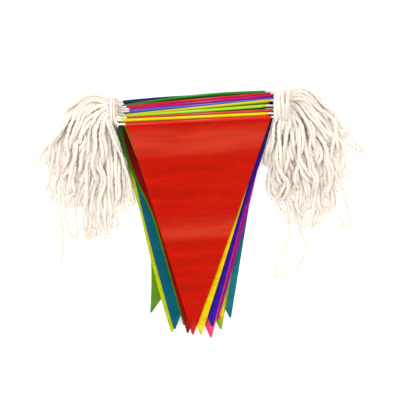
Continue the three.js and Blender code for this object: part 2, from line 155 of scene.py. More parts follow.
# Necks and ties, in millimetres, as in the solids
NECK_WIDE = 32.0
NECK_HIGH = 30.0
STUB_DRAW_IN = 0.42
STUB_KNEE = 1.5
TIE_GAP = 0.5
TIE_PITCH = CORD + 0.4
TIE_MARGIN = 0.9
TIE_ACROSS = NECK_WIDE / 2 + TIE_GAP + CORD / 2
TIE_RISE = NECK_HIGH / 2 + TIE_GAP + CORD / 2
NECK_Z = TIE_RISE + CORD / 2

# Finer than in the solids: the steps of a tie, the cord inside the end of a hem, and the packed
# cords in a neck, with their way past it, their share of its width and their facets
TIE_STEPS_A_TURN = 64
STUB_INSIDE_HEM = 9.0
CORE_PAST_NECK = 8.0
CORE_SHARE = 0.42
CORE_SEGMENTS = 32
CORE_RINGS = 20

# Loops cling together in locks: the middle line of each lock settles as one soft rope, and the legs
# of its loops wind around that line and part at their ends. Lengths along a bunch are shares of its
# way.
LANES = 8
WAY_POINTS = 13
FIRST_POINT = 0.7
SPREAD_BY = 0.35
DOWN_FROM = 0.25
DOWN_BY = 0.75
SAG_FROM = 0.6
WANDER = 0.042
WANDER_WAVES = (0.8, 1.7)
QUICK_WANDER = 0.6
LANE_ENDS = (0.02, 1.02)
THROUGH_NECK = 1.0
NECK_DRAW_IN = 0.94
STRAY_ROOT = 0.8
STRAY_HEIGHT = 9.0

# Legs around the middle line of a lock, in millimetres: distance by the number of loops and in the
# neck, and the loops' ends
LOCK_RADIUS = (0.0, 2.3, 3.3)
NECK_LOCK_RADIUS = 1.3
NECK_LOCK_WIDTH = 4.6
GATHER_LENGTH = 45.0
LOCK_TURNS = 1.8
LAYER_PITCH = 7.0
PART_LENGTH = 24.0
LOOP_HALF = 3.5
LOOP_SHIFT = 3.0
SHORTER = 22.0
FEWEST_POINTS = 6
END_DEGREES = (-55, 0, 55)

# Crimp of the cord towards its ends, in millimetres: shortest and longest wave, and height
CRIMP_WAVES = (34.0, 58.0)
CRIMP = 0.9

# Layers of locks, from the floor up. root: row of the neck where they start. first: place of the
# first lock among the lanes. loops: in each lock. shortest, longest: reach along the way.
Layer = namedtuple("Layer", "root first loops shortest longest")
LAYERS = (
    Layer(-0.64, 0.3, (1, 1, 1, 2, 1, 1, 1, 1), 0.78, 1.0),
    Layer(0.04, 0.8, (1, 1, 1, 1, 1, 1, 1, 1), 0.72, 1.0),
    Layer(0.68, 0.3, (1, 0, 1, 1, 0, 1, 1, 0), 0.58, 0.96),
)

# A lock that folds back over a tie and hangs down over it: degrees around the neck from +Y over its
# top, and how far out, as a share of the neck
FOLD_BACK = ((14, 0.85), (10, 1.2), (34, 1.46), (66, 1.46), (98, 1.46), (130, 1.46), (158, 1.38))
FOLD_BACK_FROM = 0.3
FOLD_BACK_PAST = 5.0
FOLD_BACK_BY = 3

# Bunches. away: side. tie_turns: of its tie. neck: x of the face towards the hems, and y. inner,
# middle, outer: the way that the loops take in plan. strays: loops, or one loose end, with their
# own path along the floor from where they leave a lane, and the lane that leads a loop back.
# covers: locks that fold back over the tie, placed past the neck's face.
Stray = namedtuple("Stray", "lane leave back path")
Cover = namedtuple("Cover", "place lane reach")
Bunch = namedtuple("Bunch", "name away tie_turns neck inner middle outer strays covers")
BUNCHES = (
    Bunch(
        "left", -1, 2, (-113.5, 109.5),
        ((-125, 97), (-121, 85), (-112, 54), (-102, 16), (-93, -34)),
        ((-125, 109.5), (-142, 105), (-151, 62), (-153, 4), (-156, -68)),
        ((-125, 122), (-150, 132), (-181, 104), (-207, 58), (-217, -18)),
        (
            Stray(1.02, 0.62, 0.96, ((-211, 60), (-223, 48), (-226, 39), (-219, 32))),
            Stray(0.72, 0.95, 0.6, ((-180, -58), (-175, -71), (-166, -68))),
            Stray(0.84, 0.9, None, ((-190, -60), (-190, -82), (-193, -103))),
        ),
        (),
    ),
    Bunch(
        "right", 1, 1, (106, 115.5),
        ((114, 102), (113, 90), (101, 56), (109, 10), (124, -76)),
        ((114, 115.5), (131, 112), (146, 68), (153, 12), (158, -64)),
        ((114, 128), (136, 141), (173, 116), (201, 70), (214, 12)),
        (
            Stray(1.02, 0.7, 0.96, ((215, 64), (228, 56), (226, 46))),
            Stray(0.9, 0.95, 0.8, ((205, -28), (208, -52), (205, -62), (199, -54))),
            Stray(0.12, 0.9, 0.3, ((117, -88), (101, -110), (104, -125), (124, -113), (147, -92))),
        ),
        (Cover(-0.5, 0.0, 0.6), Cover(6.6, 0.06, 0.8), Cover(13.2, 0.13, 0.72)),
    ),
)

# Settling of the loops under their own weight, as points along each cord
POINT_STEP = 3.0
SETTLING_STEPS = 36
FALL_A_STEP = 0.25
STIFFNESS = 0.12
STRAIGHT_REACH = 2
PUSH = 0.45
SHARED_PUSH = 0.6
CLOSEST = 0.05
STRETCH_PASSES = 3
NEIGHBOURS = 4
PINNED_PAST_NECK = 5.0
PINNED_BELOW = 20.0

# Twisted cord: points on a curve for each given one, rings along it, corners around it and plies
CURVE_POINTS = 12
STRAY_THINNED = 2
RING_STEP = 2.4
CORNERS = 9
PLIES = 3
SEED = 7

# Camera above the bundle, in millimetres
CAMERA_LENS = 150.0
CAMERA_SENSOR = 36.0
VIEW_WIDTH = 552.0
VIEW_CENTRE = (0.0, -13.8, 12.0)


def linear(code):
    """A colour written as hexadecimal sRGB, as linear red, green and blue."""
    shares = [int(code[place:place + 2], 16) / 255 for place in (1, 3, 5)]
    return tuple(s / 12.92 if s <= 0.04045 else ((s + 0.055) / 1.055) ** 2.4 for s in shares)


def colour_property(name, description, default):
    return FloatVectorProperty(
        name=name, description=description, subtype="COLOR", size=3, min=0, max=1, default=default
    )


def length_property(name, description, default, low, high):
    """A length whose default and limits are given in millimetres."""
    return FloatProperty(
        name=name,
        description=description,
        default=default * MM,
        min=low * MM,
        max=high * MM,
        precision=5,
        unit="LENGTH",
    )


def share_property(name, description, default, high=1):
    return FloatProperty(
        name=name, description=description, default=default, min=0, max=high, subtype="FACTOR"
    )


def light_property(name, description, default, unit="NONE"):
    return FloatProperty(name=name, description=description, default=default, min=0, unit=unit)


def dye_property(pennant):
    label = pennant.name.replace("_", " ")
    return colour_property(label.capitalize(), f"Dye of the {label} pennant", linear(pennant.dye))


class BuntingDyes(bpy.types.PropertyGroup):
    """Dye of each pennant"""

    __annotations__ = {pennant.name: dye_property(pennant) for pennant in PENNANTS}


class BuntingCloth(bpy.types.PropertyGroup):
    """Thickness and finish of the pennants' cloth"""

    thickness: length_property("Thickness", "Thickness of the taffeta", 0.25, 0.05, 1)
    sheen: share_property("Sheen", "Soft shine of the threads", 0.02)
    cover: share_property("Cover", "How much one face of the cloth hides what lies behind it", 0.86)
    relief: length_property("Thread relief", "Height of the ribs of the weave", 0.12, 0, 1)


class BuntingCord(bpy.types.PropertyGroup):
    """Size and finish of the cotton cord"""

    diameter: length_property(
        "Diameter", "Diameter of the soft cord where it hangs loose", SWOLLEN_CORD, 1, 8
    )
    drawn: length_property(
        "Drawn tight", "Diameter of the cord where it is drawn tight, in a tie or a hem", 3.4, 1, 8
    )
    twist: length_property("Twist", "Length in which a ply goes once around the cord", 26, 4, 60)
    groove: share_property(
        "Groove", "Depth of the grooves between the plies, as a share of the radius", 0.13, 0.4
    )
    colour: colour_property("Colour", "Colour of the undyed cotton", linear("#fff5ea"))
    # Painted shade: the grooves between the plies are coloured darker than the crests
    groove_painted_shade: colour_property(
        "Grooves", "Colour of the cotton in the grooves between the plies", linear("#f6e6d4")
    )


class BuntingStage(bpy.types.PropertyGroup):
    """Floor and light"""

    floor: colour_property("Floor", "Colour of the floor", (0.93, 0.93, 0.93))
    glow: light_property("Light table", "Light that the floor itself gives", 0.4)
    key: light_property("Key light", "Power of the large soft light", 26, "POWER")
    sky: light_property("Fill", "Strength of the even light from all around", 0.75)


# Shading


def put(tree, socket, value):
    """Link an input to another node's output, or set it to a value."""
    if isinstance(value, bpy.types.NodeSocket):
        tree.links.new(value, socket)
    else:
        socket.default_value = value


def add_node(tree, kind, links=(), **values):
    """A node with its settings, and with its inputs set or linked by name or index."""
    node = tree.nodes.new(kind)
    for key, value in values.items():
        setattr(node, key, value)
    for socket, value in links:
        put(tree, node.inputs[socket], value)
    return node


def maths(tree, operation, first, second=0.0):
    node = add_node(tree, "ShaderNodeMath", ((0, first), (1, second)), operation=operation)
    return node.outputs[0]


def waves(tree, value, turns):
    """A sine wave along a value, with a number of turns in each unit of it."""
    return maths(tree, "SINE", maths(tree, "MULTIPLY", value, turns * FULL_TURN))


def shaded(tree, value, colour):
    """A colour made lighter or darker by a value."""
    links = (("Value", value), ("Color", colour))
    return add_node(tree, "ShaderNodeHueSaturation", links).outputs[0]


def ramp(tree, value, low, high, low_out=0.0, high_out=1.0):
    """A smooth step of a value from one range to another."""
    labels = ("Value", "From Min", "From Max", "To Min", "To Max")
    links = zip(labels, (value, low, high, low_out, high_out))
    node = add_node(tree, "ShaderNodeMapRange", links, interpolation_type="SMOOTHSTEP")
    return node.outputs["Result"]


def noise(tree, vector, scales, detail, roughness):
    stretched = add_node(tree, "ShaderNodeMapping", (("Vector", vector), ("Scale", scales)))
    labels = ("Vector", "Scale", "Detail", "Roughness")
    links = zip(labels, (stretched.outputs[0], 1.0, detail, roughness))
    return add_node(tree, "ShaderNodeTexNoise", links).outputs["Fac"]


def mixed(tree, share, first, second, blend="MIX"):
    node = add_node(tree, "ShaderNodeMix", data_type="RGBA", blend_type=blend)
    inputs = {socket.identifier: socket for socket in node.inputs}
    for label, value in (("Factor_Float", share), ("A_Color", first), ("B_Color", second)):
        put(tree, inputs[label], value)
    return next(socket for socket in node.outputs if socket.identifier == "Result_Color")


COLOUR = "NodeSocketColor"
VALUE = "NodeSocketFloat"
SURFACE = (("Colour", COLOUR), ("Roughness", VALUE), ("Height", VALUE))


def new_group(name, inputs):
    """A group that gives the colour, roughness and relief of a surface."""
    group = bpy.data.node_groups.new(name, "ShaderNodeTree")
    for label, kind in inputs:
        group.interface.new_socket(name=label, in_out="INPUT", socket_type=kind)
    for label, kind in SURFACE:
        group.interface.new_socket(name=label, in_out="OUTPUT", socket_type=kind)
    entry = group.nodes.new("NodeGroupInput")
    result = group.nodes.new("NodeGroupOutput")
    return group, entry.outputs, result.inputs


# Weave: threads a metre, its relief, and how it shades the dye. Noises: blotches a metre along each
# axis, detail and roughness. Ranges: from low to high, to low and high.
RIBS_A_METRE = 900.0
WARP_A_METRE = 1300.0
WARP_SHARE = 0.5
WEAVE_HEIGHT = 0.3
SLUBS = ((60.0, 620.0, 1.0), 3.0, 0.6)
SLUB_HEIGHT = 1.4
SLUB_SHADE = (0.32, 0.68, 0.92, 1.07)
SLUB_ROUGHNESS = (0.3, 0.7, 0.62, 0.44)
COARSE_RIBS_A_METRE = 385.0
COARSE_RIB_SHADE = 0.05
CRINKLES = ((9.0, 85.0, 1.0), 2.0, 0.5)
CRINKLE_SHADE = (0.3, 0.7, 0.9, 1.1)

# Painted sheen: lighter bands painted across the front pennant where its soft waves catch the
# light, their middle and reach along the cloth in metres
PAINTED_SHEEN_BANDS = ((0.028, 0.026), (0.148, 0.02))
BAND_CORE = 0.3
BAND_SHEEN = 0.75
BAND_BLOTCHES = ((7.0, 40.0, 1.0), 2.0, 0.5)
BAND_RANGE = (0.3, 0.6, 0.25, 1.0)
PALE_SHEEN = (0.12, 0.045, 0.022, 1.0)

# Painted shade on the cloth tucked under the pennants in front, the hem's roll with its painted
# light and shade, and painted glints on its crown, in metres
PILE_SHADE_PAINTED = 0.72
PILE_SHADE_FADE = (0.015, 0.12)
HEM_ROLL = 0.0036
ROLL_CORE = 0.4
ROLL_SHARE = 0.9
GLINT_STREAKS = ((11.0, 260.0, 1.0), 2.0, 0.5)
GLINT_RANGE = (0.54, 0.66, 0.0, 0.15)
GLINT_REACH = 0.0022
GLINT_CORE = 0.3


def taffeta_group():
    """Ribbed weave with uneven threads. UV in metres, v from the top of the hem's roll."""
    group, entry, result = new_group(
        "taffeta_weave",
        (("Dye", COLOUR), ("Roll", COLOUR), ("Painted pile shade", VALUE), ("Painted sheen", VALUE)),
    )
    place = group.nodes.new("ShaderNodeTexCoord").outputs["UV"]
    across, along, _ = add_node(group, "ShaderNodeSeparateXYZ", ((0, place),)).outputs
    ribs = waves(group, along, RIBS_A_METRE)
    warp = maths(group, "MULTIPLY", waves(group, across, WARP_A_METRE), ribs)
    slub = noise(group, place, *SLUBS)
    weave = maths(group, "ADD", ribs, maths(group, "MULTIPLY", warp, WARP_SHARE))
    threads = maths(group, "MULTIPLY", weave, WEAVE_HEIGHT)
    height = maths(group, "ADD", threads, maths(group, "MULTIPLY", slub, SLUB_HEIGHT))
    group.links.new(height, result["Height"])

    coarse = maths(group, "MULTIPLY", waves(group, along, COARSE_RIBS_A_METRE), COARSE_RIB_SHADE)
    ribbed = maths(group, "ADD", ramp(group, slub, *SLUB_SHADE), coarse)
    crinkle = ramp(group, noise(group, place, *CRINKLES), *CRINKLE_SHADE)
    dyed = shaded(group, maths(group, "MULTIPLY", ribbed, crinkle), entry["Dye"])

    # Painted highlight: lighter bands across the cloth, broken into blotches, on the front pennant
    # only
    sheen_band = 0.0
    for middle, reach in PAINTED_SHEEN_BANDS:
        away = maths(group, "ABSOLUTE", maths(group, "SUBTRACT", along, middle))
        strip = ramp(group, away, BAND_CORE * reach, reach, BAND_SHEEN, 0.0)
        sheen_band = maths(group, "ADD", sheen_band, strip)
    blotch = ramp(group, noise(group, place, *BAND_BLOTCHES), *BAND_RANGE)
    shine = maths(group, "MULTIPLY", maths(group, "MULTIPLY", sheen_band, blotch), entry["Painted sheen"])
    shiny = mixed(group, shine, dyed, PALE_SHEEN, "ADD")

    # Painted shade: behind the front pennant the cloth is darkened near its hem, where the pile
    # shades it
    under = maths(group, "SUBTRACT", 1.0, ramp(group, along, *PILE_SHADE_FADE))
    painted_shade = maths(group, "MULTIPLY", under, entry["Painted pile shade"])
    darkened = shaded(group, maths(group, "SUBTRACT", 1.0, painted_shade), shiny)

    from_top = maths(group, "ABSOLUTE", along)
    # The roll's colour, partly painted light and shade, laid over the crown of the hem
    roll = ramp(group, from_top, ROLL_CORE * HEM_ROLL, HEM_ROLL, ROLL_SHARE, 0.0)
    rolled = mixed(group, roll, darkened, entry["Roll"])
    # Painted highlight: white glints in streaks along the crown of the hem's roll
    glint_streak = ramp(group, noise(group, place, *GLINT_STREAKS), *GLINT_RANGE)
    crown = ramp(group, from_top, GLINT_CORE * GLINT_REACH, GLINT_REACH, 1.0, 0.0)
    glint = mixed(group, maths(group, "MULTIPLY", glint_streak, crown), rolled, WHITE)
    group.links.new(glint, result["Colour"])
    group.links.new(ramp(group, slub, *SLUB_ROUGHNESS), result["Roughness"])
    return group


# Cotton: noises and ranges as in the weave
CLOUDS = ((45.0, 45.0, 45.0), 3.0, 0.55)
CLOUD_SHADE = (0.3, 0.7, 0.9, 1.05)
FUZZ = ((1500.0, 1500.0, 1500.0), 4.0, 0.7)
FUZZ_MIDDLE = 0.5
FUZZ_SHARE = 0.5
FUZZ_ROUGHNESS = (0.3, 0.7, 0.82, 0.98)
CREST_RANGE = (0.0, 0.75)


def cotton_group():
    """Soft spun cotton, uneven and fuzzy, with painted shade darker in grooves between plies."""
    group, entry, result = new_group("spun_cotton", (("Crest", COLOUR), ("Groove", COLOUR)))
    place = group.nodes.new("ShaderNodeTexCoord").outputs["Object"]
    crest = add_node(group, "ShaderNodeAttribute", attribute_name="ply_crest").outputs["Fac"]
    fuzz = noise(group, place, *FUZZ)
    rough = maths(group, "MULTIPLY", maths(group, "SUBTRACT", fuzz, FUZZ_MIDDLE), FUZZ_SHARE)
    lit = ramp(group, maths(group, "ADD", crest, rough), *CREST_RANGE)
    # Painted shade: darker towards the grooves between the plies, by the crest mark
    groove_shaded = mixed(group, lit, entry["Groove"], entry["Crest"])
    cloud = ramp(group, noise(group, place, *CLOUDS), *CLOUD_SHADE)
    group.links.new(shaded(group, cloud, groove_shaded), result["Colour"])
    group.links.new(ramp(group, fuzz, *FUZZ_ROUGHNESS), result["Roughness"])
    group.links.new(fuzz, result["Height"])
    return group


def shared_group(name, build):
    return bpy.data.node_groups.get(name) or build()


def set_inputs(shader, values):
    for label, value in values.items():
        shader.inputs[label].default_value = value


def finish_material(name, group, pattern_values, bump, finish):
    """A material whose colour, roughness and relief come from one group."""
    material = bpy.data.materials.new(name)
    material.use_nodes = True
    tree = material.node_tree
    shader = tree.nodes["Principled BSDF"]
    pattern = add_node(tree, "ShaderNodeGroup", node_tree=group)
    set_inputs(pattern, pattern_values)
    relief = add_node(
        tree,
        "ShaderNodeBump",
        (("Strength", 1.0), ("Distance", bump), ("Height", pattern.outputs["Height"])),
    )
    tree.links.new(pattern.outputs["Colour"], shader.inputs["Base Color"])
    tree.links.new(pattern.outputs["Roughness"], shader.inputs["Roughness"])
    tree.links.new(relief.outputs[0], shader.inputs["Normal"])
    set_inputs(shader, finish)
    return material


CLOTH_FINISH = {"Sheen Roughness": 0.4, "Specular IOR Level": 0.05}
CORD_RELIEF = 0.25
CORD_FINISH = {
    "Sheen Weight": 0.3,
    "Sheen Roughness": 0.6,
    "Specular IOR Level": 0.15,
    "Subsurface Weight": 0.5,
    "Subsurface Radius": (0.7, 0.85, 1.0),
    "Subsurface Scale": 2.5 * MM,
}


def cloth_material(name, dye, roll, front, cloth):
    return finish_material(
        name,
        shared_group("taffeta_weave", taffeta_group),
        {
            "Dye": (*dye, 1.0),
            "Roll": (*roll, 1.0),
            # Painted shade on every pennant but the front, painted sheen bands on the front only
            "Painted pile shade": 0.0 if front else PILE_SHADE_PAINTED,
            "Painted sheen": 1.0 if front else 0.0,
        },
        cloth.relief,
        {**CLOTH_FINISH, "Sheen Weight": cloth.sheen, "Alpha": cloth.cover},
    )


def cord_material(cord):
    return bpy.data.materials.get("cotton_cord") or finish_material(
        "cotton_cord",
        shared_group("spun_cotton", cotton_group),
        {"Crest": (*cord.colour, 1.0), "Groove": (*cord.groove_painted_shade, 1.0)},
        CORD_RELIEF * MM,
        CORD_FINISH,
    )


def add_object(name, data):
    thing = bpy.data.objects.new(name, data)
    bpy.context.scene.collection.objects.link(thing)
    return thing


def add_piece(name, mesh, material, slot, *nodes):
    """A finished piece with its mesh in place, riding on the one body instead of its solids."""
    mesh.materials.append(material)
    piece = add_object(name, mesh)
    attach(piece, "root")
    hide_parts(*nodes)
    return piece


# Lines and shares


def mix(first, second, share):
    return first + (second - first) * share


def ease(share):
    share = np.clip(share, 0.0, 1.0)
    return share * share * (3 - 2 * share)


def distances(line):
    """How far each point of a line lies along it."""
    return np.concatenate([[0.0], np.cumsum(np.linalg.norm(np.diff(line, axis=0), axis=1))])


def sampled(at, along, values):
    """Values in space, given along a line, at other distances along it."""
    return np.stack([np.interp(at, along, values[:, axis]) for axis in range(3)], axis=1)


def evenly(line, step):
    """The same line with points about a step apart."""
    along = distances(line)
    at = np.linspace(0, along[-1], max(2, math.ceil(along[-1] / step) + 1))
    return sampled(at, along, line)


def unit(vectors):
    return vectors / np.linalg.norm(vectors, axis=1)[:, None]


# Pennants


def cloth_length(pennant):
    return math.hypot(pennant.tip[0] - pennant.hem[0], pennant.tip[1] - pennant.hem[1])


def plan(pennant, share, along):
    """Place in plan: share 0 to 1 across the cloth, millimetres along from the roll's middle."""
    turn = math.radians(pennant.turn)
    cosine, sine = math.cos(turn), math.sin(turn)
    down = np.maximum(along / cloth_length(pennant), 0.0)
    behind = np.maximum(-along, 0.0)
    across = (share - 0.5) * mix(PENNANT_WIDTH, TIP_WIDTH, down)
    lift = pennant.bow * (1 - (2 * share - 1) ** 2) * (1 - down)
    swung = down + pennant.sway * down * (1 - down)
    spread = ease(down / FLARE_BY) * (1 - ease((down - FLARE_KEPT) / (FLARE_GONE - FLARE_KEPT)))
    past = spread * (pennant.flare[1] * share ** 2 - pennant.flare[0] * (1 - share) ** 2)
    x = mix(pennant.hem[0], pennant.tip[0], swung) + across * cosine - behind * sine + past
    y = mix(pennant.hem[1], pennant.tip[1], down) + across * sine + behind * cosine + lift
    return x, y


def section(pennant, step):
    """Rows of a sheet from the edge of the turned-in flap, around the roll, to the tip."""
    rows = list(FLAP)
    for turn in range(ROLL_STEPS + 1):
        angle = math.radians(mix(ROLL_FROM, ROLL_TO, turn / ROLL_STEPS))
        rows.append((ROLL_RADIUS * math.cos(angle), BEAD_RADIUS + ROLL_RADIUS * math.sin(angle)))
    rows.extend(HEM_FRONT)
    start = HEM_FRONT[-1][0]
    length = cloth_length(pennant)
    count = math.ceil((length - start) / step)
    rows.extend((mix(start, length, row / count), CLOTH_LIFT) for row in range(1, count + 1))
    return np.array(rows)


def solid_tree(node):
    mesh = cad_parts[node].data
    return BVHTree.FromPolygons(
        [vertex.co for vertex in mesh.vertices],
        [tuple(polygon.vertices) for polygon in mesh.polygons],
    )


def undersides(pennant, along, shares):
    """Height of the solid's underside, in millimetres, at each row and column."""
    tree = solid_tree(f"pennant_{pennant.name}")
    inside = np.clip(shares, EDGE_INSET, 1 - EDGE_INSET)
    reach = np.clip(along, BEAD_FRONT, cloth_length(pennant) - BEAD_FRONT)
    x, y = plan(pennant, inside[None, :], reach[:, None])
    heights = np.zeros(x.shape)
    for row, column in np.ndindex(*x.shape):
        below = Vector((x[row, column] * MM, y[row, column] * MM, -BELOW_FLOOR * MM))
        hit = tree.ray_cast(below, UP)[0] or tree.find_nearest(below)[0]
        heights[row, column] = hit.z / MM
    return heights


def smoothed(heights, passes):
    """Heights smoothed along rows and columns in turn, their slopes at the edges kept."""
    for _ in range(2 * passes):
        padded = np.pad(heights, 1, mode="reflect", reflect_type="odd")[:, 1:-1]
        heights = ((padded[:-2] + 2 * padded[1:-1] + padded[2:]) / 4).T
    return heights


def finer(values, times):
    """A grid of values with more rows and columns between its own."""
    rows, columns = values.shape
    at_rows = np.linspace(0, rows - 1, (rows - 1) * times + 1)
    at_columns = np.linspace(0, columns - 1, (columns - 1) * times + 1)
    tall = np.stack([np.interp(at_rows, np.arange(rows), column) for column in values.T], axis=1)
    return np.stack([np.interp(at_columns, np.arange(columns), row) for row in tall])


class PileTops:
    """Height of the cloth laid so far, on a grid in plan, in millimetres."""

    def __init__(self):
        self.width = int(2 * PILE_REACH / CELL)
        self.tops = np.full((self.width, self.width), -BELOW_FLOOR)

    def cells(self, x, y):
        return tuple(
            np.clip(((place + PILE_REACH) / CELL).astype(int), 0, self.width - 1)
            for place in (y, x)
        )

    def under(self, x, y):
        return self.tops[self.cells(x, y)]

    def cover(self, x, y, z):
        laid = np.full_like(self.tops, -BELOW_FLOOR)
        np.maximum.at(laid, self.cells(finer(x, FINER), finer(y, FINER)), finer(z, FINER))
        for _ in range(DILATED):
            for axis in (0, 1):
                laid = np.maximum(laid, np.maximum(np.roll(laid, 1, axis), np.roll(laid, -1, axis)))
        self.tops = np.maximum(self.tops, laid)


def creased(shares, down):
    """Height of the front's soft folds, each a straight ridge or trough that fades at its ends."""
    total = np.zeros(down.shape)
    narrow = np.minimum(1, mix(PENNANT_WIDTH, TIP_WIDTH, down) / NARROW_CLOTH)
    for crease in FRONT_CREASES:
        run = (shares - crease.across) / (crease.across_end - crease.across)
        run = np.clip(run, -CREASE_FADE, 1 + CREASE_FADE)
        line = mix(crease.along, crease.along_end, run)
        apart = (down - line) * CREASED_LENGTH / crease.half_width
        fade = ease((run + CREASE_FADE) / (2 * CREASE_FADE))
        fade = fade * ease((1 + CREASE_FADE - run) / (2 * CREASE_FADE))
        total += crease.height * np.exp(-apart * apart) * fade * narrow
    return total


def lay_pennant(pennant, tops):
    """Rows and shares of a sheet, and its points' places in millimetres as rows and columns."""
    front = pennant.name == FRONT
    rows = section(pennant, FRONT_STEP if front else CLOTH_STEP)
    shares = np.linspace(0, 1, (FRONT_COLUMNS if front else CLOTH_COLUMNS) + 1)
    along = rows[:, 0]
    lift = np.repeat(rows[:, 1:2], len(shares), axis=1)
    x, y = plan(pennant, shares[None, :], along[:, None])
    rest = undersides(pennant, along, shares)
    sewn = len(FLAP) + ROLL_STEPS + 1
    rest[sewn:] = smoothed(rest[sewn:], SMOOTHING_PASSES)
    z = rest + lift
    free = sewn + len(HEM_FRONT)
    if front:
        down = np.repeat(along[free:, None] / cloth_length(pennant), len(shares), axis=1)
        z[free:] += creased(shares[None, :], down)
    lowest = tops.under(x[free:], y[free:]) + CLEARANCE
    for _ in range(CLEARING_PASSES):
        z[free:] = np.maximum(z[free:], lowest)
        z[free:] = smoothed(z[free - SEWN_ROWS_KEPT:], 1)[SEWN_ROWS_KEPT:]
    z[free:] = np.maximum(z[free:], lowest)
    tops.cover(x[sewn:], y[sewn:], z[sewn:])
    return rows, shares, np.stack([x, y, z], axis=2)


def cloth_mesh(name, rows, shares, places):
    """A sheet from a grid moved to its places, with a UV map of the flat cloth, and its length."""
    columns = len(shares) - 1
    lines = len(rows) - 1
    flat = distances(rows)
    top = len(FLAP) + int(round(ROLL_STEPS * (ROLL_FROM - ROLL_TOP) / (ROLL_FROM - ROLL_TO)))
    flat -= flat[top]
    bm = bmesh.new()
    uv = bm.loops.layers.uv.new("flat_cloth")
    bmesh.ops.create_grid(bm, x_segments=columns, y_segments=lines, size=0.5)
    spot = {}
    for vertex in bm.verts:
        column = round((vertex.co.x + 0.5) * columns)
        line = round((0.5 - vertex.co.y) * lines)
        spot[vertex] = (column, line)
        vertex.co = places[line, column] * MM
    widths = np.interp(np.maximum(rows[:, 0], 0), (0, rows[-1, 0]), (PENNANT_WIDTH, TIP_WIDTH))
    for face in bm.faces:
        for loop in face.loops:
            column, line = spot[loop.vert]
            loop[uv].uv = ((shares[column] - 0.5) * widths[line] * MM, flat[line] * MM)
    mesh = bpy.data.meshes.new(name)
    bm.to_mesh(mesh)
    bm.free()
    mesh.shade_smooth()
    return mesh, flat[-1] - flat[0]


class BUNTING_OT_pennants(bpy.types.Operator):
    """Lay the thin pennants on their solids, from the bottom of the pile to the front"""

    bl_idname = "bunting.pennants"
    bl_label = "Pennants"

    def execute(self, context):
        cloth = context.scene.bunting_cloth
        dyes = context.scene.bunting_dyes
        tops = PileTops()
        for pennant in PENNANTS:
            name = f"cloth_{pennant.name}"
            rows, shares, places = lay_pennant(pennant, tops)
            mesh, flat_length = cloth_mesh(name, rows, shares, places)
            material = cloth_material(
                f"taffeta_{pennant.name}",
                getattr(dyes, pennant.name),
                linear(pennant.roll),
                pennant.name == FRONT,
                cloth,
            )
            piece = add_piece(name, mesh, material, name, f"pennant_{pennant.name}")
            wall = piece.modifiers.new("thickness", "SOLIDIFY")
            wall.thickness = cloth.thickness
            wall.offset = 0
        return {"FINISHED"}


# Cord


def tangent(before, here, after, span_in, span_out):
    """Direction of a centripetal curve at a point between two others."""
    return (
        (here - before) / span_in
        - (after - before) / (span_in + span_out)
        + (after - here) / span_out
    )


def curve(points, shares):
    """Places on a centripetal curve through points, at shares of its way counted by its points."""
    points = np.asarray(points, float)
    ends = np.vstack([2 * points[0] - points[1], points, 2 * points[-1] - points[-2]])
    spans = len(points) - 1
    place = np.clip(np.asarray(shares, float) * spans, 0, spans - SHORT_OF_END)
    span = place.astype(int)
    part = (place - span)[:, None]
    before, first, second, after = (ends[span + offset] for offset in range(4))
    knot = [
        np.sqrt(np.maximum(np.linalg.norm(b - a, axis=1), NEARLY_ZERO))[:, None]
        for a, b in ((before, first), (first, second), (second, after))
    ]
    lead = knot[1] * tangent(before, first, second, knot[0], knot[1])
    trail = knot[1] * tangent(first, second, after, knot[1], knot[2])
    square = 3 * (second - first) - 2 * lead - trail
    cube = 2 * (first - second) + lead + trail
    return first + part * (lead + part * (square + part * cube))


def way(bunch, lane, share):
    """Place in plan on the way of a bunch: lane 0 inner to 1 outer, share 0 at the neck to 1."""
    inner = 2 * (lane - 0.5) * (lane - 1)
    middle = 4 * lane * (1 - lane)
    outer = 2 * lane * (lane - 0.5)
    points = (
        inner * np.array(bunch.inner, float)
        + middle * np.array(bunch.middle, float)
        + outer * np.array(bunch.outer, float)
    )
    return curve(points, [share])[0]


def neck_length(bunch):
    return bunch.tie_turns * TIE_PITCH + CORD + 2 * TIE_MARGIN


def root_place(bunch, column, row):
    """Place of a cord in the neck: column and row run from -1 to 1, rounded off at the corners."""
    across = column * math.sqrt(1 - row * row / 2) * (NECK_WIDE - CORD) / 2
    rise = row * math.sqrt(1 - column * column / 2) * (NECK_HIGH - CORD) / 2
    x = bunch.neck[0] + bunch.away * neck_length(bunch)
    return np.array([x, bunch.neck[1] + across, NECK_Z + rise])


def through_neck(bunch, column, row):
    """Points of a cord from inside the neck to its far face."""
    root = root_place(bunch, np.clip(column, -1, 1), np.clip(row, -1, 1))
    inside = root.copy()
    inside[0] = bunch.neck[0] - bunch.away * THROUGH_NECK
    inside[1] = mix(bunch.neck[1], root[1], NECK_DRAW_IN)
    inside[2] = mix(NECK_Z, root[2], NECK_DRAW_IN)
    return [inside, mix(inside, root, 0.5), root]


def folded_back(bunch, place):
    """Points of a lock that comes out beside the neck, folds back and hangs down over the tie."""
    points = []
    for number, (degrees, rim) in enumerate(FOLD_BACK):
        angle = math.radians(degrees)
        past = mix(neck_length(bunch) + FOLD_BACK_PAST, place, ease(number / FOLD_BACK_BY))
        points.append(np.array([
            bunch.neck[0] + bunch.away * past,
            bunch.neck[1] + rim * NECK_WIDE / 2 * math.cos(angle),
            NECK_Z + rim * NECK_HIGH / 2 * math.sin(angle),
        ]))
    return points


def wandering(rng):
    """A slow wander to both sides along the way."""
    phase = rng.uniform(0, FULL_TURN, 2)
    turns = rng.uniform(*WANDER_WAVES, 2)

    def wander(share):
        slow = math.sin(turns[0] * share * FULL_TURN + phase[0])
        quick = math.sin(2 * turns[1] * share * FULL_TURN + phase[1])
        return WANDER * (slow + QUICK_WANDER * quick)

    return wander


def lock_width(loops):
    return 2 * LOCK_RADIUS[loops] + LOOSE_CORD


